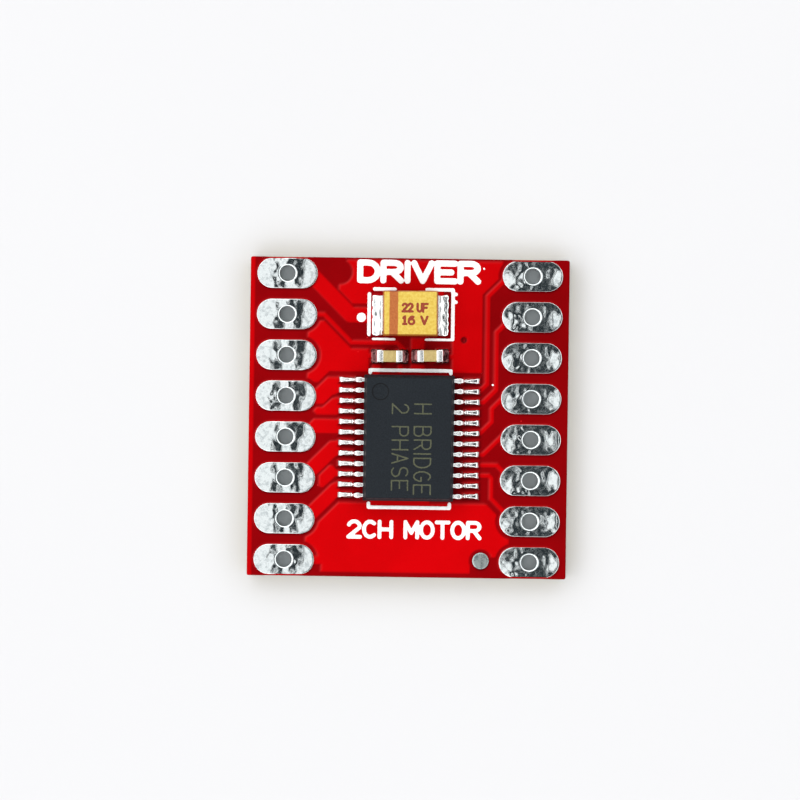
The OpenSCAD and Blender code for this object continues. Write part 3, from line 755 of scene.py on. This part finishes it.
def terminal(side, n):
    """Tinned land on both faces and the barrel between them, one closed skin."""
    node = f"pin_terminal_{side}_{n + 1}"
    c, half, r = oblong(node)
    sign = SIDES[side]
    outer = oblong_points(half, r, LAND_POINTS)
    seed = 3.1 * n + (40 if sign > 0 else 0)
    chance = np.random.default_rng(100 + n + (50 if sign > 0 else 0))
    humps = [(u + 0.08 * chance.standard_normal(), v + 0.07 * chance.standard_normal(), back, run, wide,
              share * chance.uniform(*HUMP_SPREAD[side])) for u, v, back, run, wide, share in HUMPS[side]]
    inner_r = HOLE_R + KNEE[-1][0]

    def surface(x, y, up):
        """Solder height over the laminate at a point of the land."""
        gap = r - math.hypot(max(abs(x) - half, 0), y)
        t = SOLDER_BASE + RIPPLE * (ripple(x, y, 0.62, seed + 7 + up) + ripple(x, y, 1.5, seed + up))
        warped_x = x + 0.06 * ripple(x, y, 0.7, seed + 3)
        warped_y = y + 0.1 * ripple(x, y, 0.6, seed + 5)
        for u, v, back, run, wide, share in humps:
            s = warped_x - u
            along = math.exp(-(s / back) ** 2 / 2) if s < 0 else max(0.0, 1 - s / run)
            t += HUMP_H * share * along * math.exp(-((warped_y - v) / wide) ** 4)
        rise = 0.35 + 0.65 * float(round_over(gap / RIM))
        return LAND_T * rise * min(t, 1.0)

    def face_rings(base, up):
        edge = [oblong_points(half, r - d, LAND_POINTS) for d in (0.0, 0.004, 0.012, 0.024, 0.038, RIM)]
        inner = edge[-1]
        hole = []
        for x, y in inner:
            a = math.atan2(y * 1.35, x)
            hole.append((inner_r * math.cos(a), inner_r * math.sin(a)))
        for m in range(1, LAND_RINGS + 1):
            t = m / LAND_RINGS
            edge.append([(ax + (bx - ax) * t, ay + (by - ay) * t) for (ax, ay), (bx, by) in zip(inner, hole)])
        rings = [[(c[0] + x, c[1] + y, base + up * surface(x, y, up)) for x, y in pts] for pts in edge]
        lip = rings[-1]
        for step, drop in KNEE:
            k = 1 - step / inner_r
            rings.append([(c[0] + x * k, c[1] + y * k, p[2] - up * drop) for (x, y), p in zip(hole, lip)])
        return rings

    top = face_rings(TOP, 1)
    under = face_rings(UNDER, -1)
    hole = [((p[0] - c[0]) / HOLE_R, (p[1] - c[1]) / HOLE_R) for p in top[-1]]
    middle = [[(c[0] + x * HOLE_R, c[1] + y * HOLE_R, UNDER + (TOP - UNDER) * t) for x, y in hole]
              for t in (0.75, 0.5, 0.25)]
    drill = HOLE_R + BARREL_T
    base = [(c[0] + x, c[1] + y, TOP) for x, y in outer]
    wall = [[(c[0] + x * drill, c[1] + y * drill, z) for x, y in hole] for z in (UNDER, TOP)]
    foot = [(c[0] + x, c[1] + y, UNDER) for x, y in outer]
    rings = [base] + top + middle + under[::-1] + [foot] + wall
    piece(f"land_{side}_{n + 1}", *ring_mesh(rings), "tinned", (node,))


for side in SIDES:
    for n in range(PINS):
        terminal(side, n)


# ---- Round test point ----

TEST_SIDES = 64


def test_point():
    low, high = box("test_point")
    c, r = (low + high) / 2, (high[0] - low[0]) / 2
    turns = np.linspace(0, 2 * math.pi, TEST_SIDES, endpoint=False)
    rings = [[(c[0] + r * math.cos(a), c[1] + r * math.sin(a), low[2]) for a in turns]]
    for d in (0.0, 0.006, 0.02, 0.045, 0.09, 0.16, 0.25, 0.35, 0.44, 0.5):
        ring = []
        for a in turns:
            x, y = (r - d) * math.cos(a), (r - d) * math.sin(a)
            t = 0.3 + 0.62 * float(round_over(d / 0.1)) + 0.03 * ripple(x, y, 0.5, 9.0)
            ring.append((c[0] + x, c[1] + y, low[2] + (high[2] - low[2]) * min(t, 1.0)))
        rings.append(ring)
    piece("test_pad", *capped(rings), "dull_tin", ("test_point",))


test_point()


# ---- Driver chip ----

LEFT_LOW, LEFT_HIGH = box("driver_chip_leads_left")
LEAD_W = 0.22
LEAD_T = 0.15
LEAD_PITCH = (LEFT_HIGH[1] - LEFT_LOW[1] - LEAD_W) / (LEADS - 1)
SEAT = LEFT_LOW[2]
LEAD_TOP = LEFT_HIGH[2] - LEAD_T / 2
DRAFT = 0.18
# Pin 1 dimple: x and y from the chip's middle, radius, depth; its wall: step outwards, share of the depth
DIMPLE = (-1.78, 2.85, 0.5, 0.035)
DIMPLE_WALL = ((0.05, 0), (0.02, -0.15), (-0.01, -0.7), (-0.05, -1), (-0.25, -0.94))
DIMPLE_SIDES = 48
# Corners of a rectangle and the angle at which each one's arc starts
CORNERS = ((1, 1, 0), (-1, 1, 90), (-1, -1, 180), (1, -1, 270))


def rounded_ring(mid, half_x, half_y, r, z, steps=5):
    ring = []
    for cx, cy, start in CORNERS:
        for k in range(steps + 1):
            a = math.radians(start + 90 * k / steps)
            ring.append((mid[0] + cx * (half_x - r) + r * math.cos(a),
                         mid[1] + cy * (half_y - r) + r * math.sin(a), z))
    return ring


def chip_body():
    """Moulded block: drafted halves, parting line, softened edges and a shallow pin 1 dimple."""
    half = (CHIP_HIGH - CHIP_LOW) / 2
    z0, z1 = CHIP_LOW[2], CHIP_HIGH[2]
    rings = []

    def ring(inset, z, r):
        rings.append(rounded_ring(CHIP_MID, half[0] - inset, half[1] - inset, r, z))
    soft = 0.06
    for k in range(5):
        a = math.pi / 2 * k / 4
        ring(DRAFT + soft * (1 - math.sin(a)), z0 + soft * (1 - math.cos(a)), 0.1)
    for inset, z in ((0.012, LEAD_TOP - 0.035), (0.0, LEAD_TOP - 0.02),
                     (0.0, LEAD_TOP + 0.02), (0.012, LEAD_TOP + 0.035)):
        ring(inset, z, 0.08)
    for k in range(6):
        a = math.pi / 2 * k / 5
        ring(DRAFT + soft * (1 - math.cos(a)), z1 - soft * (1 - math.sin(a)), 0.12)
    verts, faces = ring_mesh(rings, False)
    count = len(rings[0])
    faces.append(tuple(reversed(range(count))))
    obj = piece("chip_moulding", verts, faces, "chip_epoxy", ("driver_chip_body",))
    bm = bmesh.new()
    bm.from_mesh(obj.data)
    wall = bm.verts.layers.float.new("dimple")
    bm.verts.ensure_lookup_table()
    rim = [bm.verts[len(verts) - count + i] for i in range(count)]
    dx, dy, dr, depth = DIMPLE
    mid_x, mid_y = CHIP_MID[0] + dx, CHIP_MID[1] + dy
    turns = np.linspace(0, 2 * math.pi, DIMPLE_SIDES, endpoint=False)
    ringed = []
    for step, z in DIMPLE_WALL:
        r = dr + step
        spots = [(mid_x + r * math.cos(a), mid_y + r * math.sin(a), z1 + z * depth) for a in turns]
        ringed.append([bm.verts.new(Vector(spot) * MM) for spot in spots])
    # The dimple's steep wall is marked for painted shade
    for vert in ringed[1] + ringed[2]:
        vert[wall] = 1.0
    edges = []
    for loop in (rim, ringed[0]):
        for a, b in zip(loop, loop[1:] + loop[:1]):
            edges.append(bm.edges.get((a, b)) or bm.edges.new((a, b)))
    bmesh.ops.triangle_fill(bm, use_beauty=True, use_dissolve=False, edges=edges)
    for a, b in zip(ringed, ringed[1:]):
        for i in range(DIMPLE_SIDES):
            j = (i + 1) % DIMPLE_SIDES
            bm.faces.new((a[i], a[j], b[j], b[i]))
    bm.faces.new(ringed[-1])
    bmesh.ops.recalc_face_normals(bm, faces=bm.faces)
    for f in bm.faces:
        f.smooth = True
    bm.to_mesh(obj.data)
    bm.free()


chip_body()


# Lines of the chip's marking, read down the board: words, x of the foot, start and end in y, height
MARKING = (("H BRIDGE", 0.33, 0.9, -4.75, 1.12), ("2 PHASE", -1.03, 0.9, -4.5, 1.08))
MARKING_STROKE = 0.09


def chip_marking():
    lines = []
    for text, x, y0, y1, tall in MARKING:
        line = lettering(text, (0, 0), (y0 - y1, tall), MARKING_STROKE, 0.42)
        lines += turned(line, (x, y0), -math.pi / 2)
    ink("chip_marking", "chip_marking", CHIP_LOW + DRAFT, CHIP_HIGH - DRAFT, 0.03,
        lambda g: stroke_keep(g, lines, MARKING_STROKE), lambda g: np.full(g.X.shape, CHIP_HIGH[2]), 0.004)


chip_marking()


# ---- Gull-wing leads and their solder ----

# Bends of a lead, and where it starts down, is pinched, dulls and reaches its toe, from the chip's middle
BEND_R = 0.13
BEND_A = 78
FOOT_Z = SEAT + LEAD_T / 2
SHOULDER_X, NECK_X, DULL_X, TOE_X = 3.2, 3.72, 4.0, 4.2


def lead_path():
    """Centreline from inside the body to the tip as (x from the chip's middle, z, slope)."""
    tip = LEFT_LOW[0] - CHIP_MID[0]
    a = math.radians(BEND_A)
    leg = (LEAD_TOP - FOOT_Z - 2 * BEND_R * (1 - math.cos(a))) / math.sin(a)
    heel = SHOULDER_X + 2 * BEND_R * math.sin(a) + leg * math.cos(a)
    path = [(x, LEAD_TOP, 0.0) for x in (2.6, 2.8, 2.9, 3.0, 3.1, SHOULDER_X - 0.03)]
    for k in range(9):
        t = a * k / 8
        path.append((SHOULDER_X + BEND_R * math.sin(t), LEAD_TOP - BEND_R * (1 - math.cos(t)), -t))
    for k in range(8, -1, -1):
        t = a * k / 8
        path.append((heel - BEND_R * math.sin(t), FOOT_Z + BEND_R * (1 - math.cos(t)), -t))
    for k in range(1, 13):
        path.append((heel + (-tip - heel) * k / 12, FOOT_Z, 0.0))
    return path, heel


LEAD_PATH, HEEL_X = lead_path()


def lead_row(side):
    """Twelve formed leads with rounded edges and the wider stub left by the tie bar."""
    sign = SIDES[side]
    verts, faces = [], []
    soft = 0.035
    for k in range(LEADS):
        y0 = CHIP_MID[1] + ((LEADS - 1) / 2 - k) * LEAD_PITCH
        rings = []
        for m, (x, z, slope) in enumerate(LEAD_PATH):
            wide = LEAD_W / 2 + 0.04 * math.exp(-((x - 3.1) / 0.15) ** 4) * (1 if z > LEAD_TOP - 0.1 else 0)
            wide *= 1 - 0.3 * math.exp(-((x - NECK_X) / 0.07) ** 2)
            wide += 0.012 * ripple(x, y0, 0.5, sign * 3.0)
            thick = LEAD_T / 2 * (1 if m < len(LEAD_PATH) - 1 else 0.93)
            ring = []
            for cy, ct, start in CORNERS:
                for q in range(3):
                    a = math.radians(start + 45 * q)
                    across = cy * (wide - soft) + soft * math.cos(a)
                    t = ct * (thick - soft) + soft * math.sin(a)
                    ring.append((CHIP_MID[0] + sign * (x - t * math.sin(slope)),
                                 y0 + across, z + t * math.cos(slope)))
            rings.append(ring if sign > 0 else ring[::-1])
        v, f = capped(rings)
        faces += [tuple(i + len(verts) for i in face) for face in f]
        verts += v
    piece(f"chip_leads_{side}", verts, faces, "lead_plating", (f"driver_chip_leads_{side}",))


for side in SIDES:
    lead_row(side)


SOLDER_LOW, SOLDER_HIGH = box("driver_chip_solder")
PAD_Z = TOP + COPPER_T
PAD_L = 1.08


def chip_solder(side):
    """One skin per row: each joint wets the foot's sides and runs out to the toe of its pad."""
    sign = SIDES[side]
    pad_out = (SOLDER_HIGH[0] if sign > 0 else -SOLDER_LOW[0]) - sign * CHIP_MID[0]
    pad_in = pad_out - PAD_L
    xa, xb = sorted(CHIP_MID[0] + sign * end for end in (pad_in, pad_out))
    grid = Grid((xa, SOLDER_LOW[1] - 0.05), (xb, SOLDER_HIGH[1] + 0.05), 0.035)
    u = sign * (grid.X - CHIP_MID[0])
    k = np.clip(np.round((LEADS - 1) / 2 - (grid.Y - CHIP_MID[1]) / LEAD_PITCH), 0, LEADS - 1)
    v = grid.Y - CHIP_MID[1] - ((LEADS - 1) / 2 - k) * LEAD_PITCH
    mid_u, half_u = (pad_in + pad_out) / 2, PAD_L / 2
    spread = 0.19 / (0.14 + 0.055 * ease((u - DULL_X) / 0.3))
    keep = box_keep(u - mid_u, v * spread, half_u, 0.19, 0.07)
    keep += 0.012 * ripple(grid.X, grid.Y, 0.5, 4.0 * sign)
    foot = LEAD_W / 2 + (0.21 - LEAD_W / 2) * ease((u - TOE_X + 0.35) / 0.5)
    foot *= 1 - 0.25 * np.exp(-((u - NECK_X) / 0.08) ** 2)
    side_fall = np.exp(-np.maximum(abs(v) - foot - 0.015 * ripple(grid.X, grid.Y, 0.6, 8.0), 0) / 0.04)
    toe = 1 - 0.55 * ease((u - TOE_X) / (pad_out - TOE_X))
    fall = 0.003 * np.clip(u - HEEL_X, 0, DULL_X - HEEL_X) - 0.03 * np.clip(u - DULL_X, 0, TOE_X - DULL_X)
    crown = (SEAT - PAD_Z + LEAD_T + 0.008 + fall) * toe
    heel_rise = 0.12 * np.exp(-((u - HEEL_X + 0.08) / 0.09) ** 2) * (abs(v) < LEAD_W / 2)
    rise = 0.012 + crown * side_fall + heel_rise
    skin = PAD_Z + rise * (0.1 + 0.9 * round_over(keep / 0.07))
    nodes = ("driver_chip_solder",) if side == "left" else ()
    sheet(f"chip_solder_{side}", "solder", grid, keep, skin, np.full(grid.X.shape, PAD_Z), nodes)


for side in SIDES:
    chip_solder(side)


# ---- Tantalum capacitor ----

BULK_MID = (BULK_LOW + BULK_HIGH) / 2
BULK_TURN = math.radians(0.5)
BULK_SEAM = box("bulk_capacitor_anode_terminal")[1][2]
BULK_DRAFT = 0.07
PRINT_T = 0.006
PRINT_STROKE = 0.15


def tantalum_body():
    """Moulded block with drafted sides, softened edges and its seam at the terminals."""
    half = (BULK_HIGH - BULK_LOW) / 2 - np.array([0.012, 0.014, 0])
    z0, z1 = BULK_LOW[2], BULK_HIGH[2] - PRINT_T
    rings = []
    for inset, z, r in ((0.11, z0, 0.04), (0.1, z0 + 0.04, 0.06), (0.055, BULK_SEAM - 0.03, 0.05),
                        (0.01, BULK_SEAM - 0.012, 0.05), (0.0, BULK_SEAM + 0.01, 0.05),
                        (0.006, BULK_SEAM + 0.03, 0.05), (BULK_DRAFT * 0.55, (BULK_SEAM + z1) / 2, 0.06),
                        (BULK_DRAFT, z1 - 0.07, 0.08), (BULK_DRAFT + 0.006, z1 - 0.05, 0.08),
                        (BULK_DRAFT + 0.024, z1 - 0.022, 0.08), (BULK_DRAFT + 0.052, z1 - 0.006, 0.08),
                        (BULK_DRAFT + 0.085, z1, 0.08)):
        ring = rounded_ring((0, 0), half[0] - inset, half[1] - inset, r, z)
        rings.append([(*swung(x, y, BULK_MID, BULK_TURN), z) for x, y, z in ring])
    verts, faces = capped(rings)
    side = [1.0 if v[2] < z1 - 0.03 else 0.0 for v in verts]
    piece("tantalum_moulding", verts, faces, "yellow_epoxy", ("bulk_capacitor_body",), {"side": side})


tantalum_body()


def tantalum_print():
    base = BULK_HIGH[2] - PRINT_T
    lines = []
    for text, y0, y1 in (("22 UF", 6.48, 7.1), ("16 V", 5.7, 6.32)):
        lines += lettering(text, (BULK_MID[0] - 0.56, y0), (BULK_MID[0] + 1.12, y1), PRINT_STROKE, 0.3)
    ink("tantalum_print", "brown_print", (-0.7, 5.6), (1.3, 7.2), 0.022,
        lambda g: stroke_keep(g, lines, PRINT_STROKE), lambda g: np.full(g.X.shape, base), PRINT_T)


tantalum_print()


def fillet_skin(name, look, middle, turn, start, end, half_w, height, seed, nodes, knobs=0.0):
    """Concave solder ramp from a terminal down to the end of its pad, on each side of a part."""
    reach = end + 0.1
    grid = Grid((-reach, -half_w - 0.1), (reach, half_w + 0.1), 0.04)
    u = abs(grid.X)
    keep = np.minimum(box_keep(u - (start + end) / 2, grid.Y, (end - start) / 2, half_w, 0.1),
                      u - start) + 0.02 * ripple(grid.X, grid.Y, 0.45, seed)
    t = np.clip((u - start) / (end - start), 0, 1)
    wave = ripple(grid.X, grid.Y, 0.7, seed + 2)
    lift = 0.06 + height * (1 - t) ** 3 + 0.03 * wave * np.sin(math.pi * np.clip(t * 1.2, 0, 1))
    lift += knobs * np.exp(-(((u - end + 0.12) / 0.07) ** 2 + ((abs(grid.Y) - half_w + 0.1) / 0.07) ** 2))
    lift *= 0.15 + 0.85 * round_over(keep / 0.1)
    verts, faces, _ = sheet_mesh(grid, keep, PAD_Z + lift, np.full(grid.X.shape, PAD_Z))
    verts = [(*swung(x, y, middle, turn), z) for x, y, z in verts]
    piece(name, verts, faces, look, nodes)


SOLDER_BOX = box("bulk_capacitor_solder")
BULK_END = box("bulk_capacitor_cathode_terminal")[1][0] - BULK_MID[0]
BULK_PAD_END = (SOLDER_BOX[1][0] - SOLDER_BOX[0][0]) / 2
fillet_skin("tantalum_solder", "solder", (BULK_MID[0], 6.36), BULK_TURN, BULK_END - 0.06, BULK_PAD_END + 0.02,
            1.26, 0.3, 11.0, ("bulk_capacitor_solder",))


# ---- Ceramic capacitors ----

def soft_block(mid, half, turn, r, segments=3):
    """Rounded block, each edge swept as a small arc."""
    bm = bmesh.new()
    bmesh.ops.create_cube(bm, size=2.0)
    bmesh.ops.scale(bm, vec=Vector(half), verts=bm.verts)
    bmesh.ops.bevel(bm, geom=bm.edges[:], offset=r, segments=segments, profile=0.5, affect="EDGES")
    bmesh.ops.rotate(bm, matrix=Matrix.Rotation(turn, 3, "Z"), verts=bm.verts)
    bmesh.ops.translate(bm, vec=Vector(mid), verts=bm.verts)
    verts = [tuple(v.co) for v in bm.verts]
    faces = [tuple(v.index for v in f.verts) for f in bm.faces]
    bm.free()
    return verts, faces


# Half length of an end cap, and how far the ceramic lies inside the caps' faces
CAP_L = 0.21
CAP_WALL = 0.028


def ceramic(number, turn):
    stem = f"ceramic_capacitor_{number}"
    caps = [box(f"{stem}_end_cap_{side}") for side in SIDES]
    low, high = np.min(caps, 0)[0], np.max(caps, 0)[1]
    mid = (low + high) / 2
    c, s = math.cos(turn), math.sin(turn)
    wide_x, wide_y = (high - low)[:2]
    half_w = (wide_y - abs(s) * wide_x) / 2
    half_l = wide_x / 2 - abs(s) * half_w
    half_h = (high[2] - low[2]) / 2
    verts, faces = soft_block(mid, (half_l - 0.2, half_w - CAP_WALL, half_h - CAP_WALL), turn, 0.03)
    piece(f"{stem}_chip", verts, faces, "ceramic", (f"{stem}_body",))
    for side, sign in SIDES.items():
        at = (mid[0] + sign * c * (half_l - CAP_L), mid[1] + sign * s * (half_l - CAP_L), mid[2])
        verts, faces = soft_block(at, (CAP_L, half_w, half_h), turn, 0.07, 4)
        verts = [(x, y + 0.006 * ripple(x, z, 0.5, number + 3 * sign), z) for x, y, z in verts]
        piece(f"{stem}_cap_{side}", verts, faces, "lead_plating", (f"{stem}_end_cap_{side}",))
    solder_low, solder_high = box(f"{stem}_solder")
    reach = (solder_high[0] - solder_low[0]) / 2
    # The fillets' solder is painted dark as a reflection of the dark surroundings and the red mask
    fillet_skin(f"{stem}_fillet", "solder_painted_reflection", mid, turn, half_l - 0.26, reach, half_w + 0.07, 0.3,
                20.0 + number, (f"{stem}_solder",), 0.08)


ceramic(1, math.radians(0.3))
ceramic(2, math.radians(1.2))


# ---- Floor, light and camera ----

FLOOR_HALF = 3000.0


def stage_floor():
    f = Finish("floor_paper", spec=0.0)
    f.colour(f.mix(f.noise(0.02), (0.668, 0.668, 0.678), (0.68, 0.68, 0.69)))
    f.rough(0.9)
    verts = [(x * FLOOR_HALF, y * FLOOR_HALF, 0.0) for x, y, _ in CORNERS]
    mesh_object("floor", verts, [(0, 1, 2, 3)], f.mat)


def panel(name, x, height, size, radiance):
    """Soft rectangular light over the board that faces down, seen at one radiance, in metres."""
    light = bpy.data.lights.new(name, "AREA")
    light.shape = "RECTANGLE"
    light.size, light.size_y = size
    light.energy = radiance * math.pi * size[0] * size[1]
    obj = placed(name, light)
    obj.location = (x, 0.0, height)
    obj.visible_camera = False


def studio():
    """Bright walls, dim ceiling: polished flats stay dark and their edges catch the walls."""
    world = bpy.data.worlds.new("studio")
    bpy.context.scene.world = world
    world.use_nodes = True
    add, link = world.node_tree.nodes.new, world.node_tree.links.new
    back = world.node_tree.nodes["Background"]
    coord = add("ShaderNodeTexCoord")
    split = add("ShaderNodeSeparateXYZ")
    ramp = add("ShaderNodeValToRGB")
    link(coord.outputs["Generated"], split.inputs[0])
    link(split.outputs[2], ramp.inputs[0])
    lean = add("ShaderNodeVectorMath")
    lean.operation = "DOT_PRODUCT"
    lean.inputs[1].default_value = KEY_SIDE
    link(coord.outputs["Generated"], lean.inputs[0])
    level = add("ShaderNodeMapRange")
    set_range(level, -1, 1, FAR_WALL, NEAR_WALL)
    link(lean.outputs["Value"], level.inputs["Value"])
    link(ramp.outputs[0], back.inputs[0])
    link(level.outputs["Result"], back.inputs[1])
    stops = ramp.color_ramp.elements
    stops[0].position, stops[0].color = WALLS[0][0], tint(WALLS[0][1])
    stops[1].position, stops[1].color = WALLS[-1][0], tint(WALLS[-1][1])
    for position, colour in WALLS[1:-1]:
        stops.new(position).color = tint(colour)
    for name, row in PANELS.items():
        panel(name, *row)


# Panels over the board: middle in X, height, size, radiance
PANELS = {
    "soft_left": (-0.563, 1.0, (1.1, 1.5), 1.0),
    "soft_mid": (0.0175, 1.0, (0.019, 1.5), 1.0),
    "strip_right_a": (0.075, 0.45, (0.02, 0.6), 1.1),
    "strip_right_b": (0.16, 0.44, (0.03, 0.6), 0.9),
}
# Studio brightness by the sine of the height angle
WALLS = ((0.0, (0.3, 0.3, 0.3)), (0.3, (0.35, 0.35, 0.35)), (0.48, (1.15, 1.15, 1.15)),
         (0.8, (1.15, 1.15, 1.15)), (0.92, (0.02, 0.025, 0.028)))
# Side that the brighter wall is on, and the walls' strength opposite it and there
KEY_SIDE = (-0.83, 0.55, 0.0)
FAR_WALL, NEAR_WALL = 1.4, 1.7
# Camera: height over the board and width of its view there in metres, aim, roll in degrees
CAMERA_H, VIEW_W = 0.2, 0.0497
AIM = (-0.515, 1.105)
ROLL = 0.8


def camera():
    data = bpy.data.cameras.new("view")
    data.sensor_width = 36.0
    data.lens = data.sensor_width * CAMERA_H / VIEW_W
    data.clip_start, data.clip_end = 0.005, 20.0
    obj = placed("view", data)
    turn = math.radians(ROLL)
    x, y = swung(*AIM, (0.0, 0.0), turn)
    obj.location = (x * MM, y * MM, TOP * MM + CAMERA_H)
    obj.rotation_euler = (0, 0, turn)
    bpy.context.scene.camera = obj


stage_floor()
studio()
camera()
scene = bpy.context.scene
scene.view_settings.view_transform = "Standard"
scene.view_settings.look = "None"
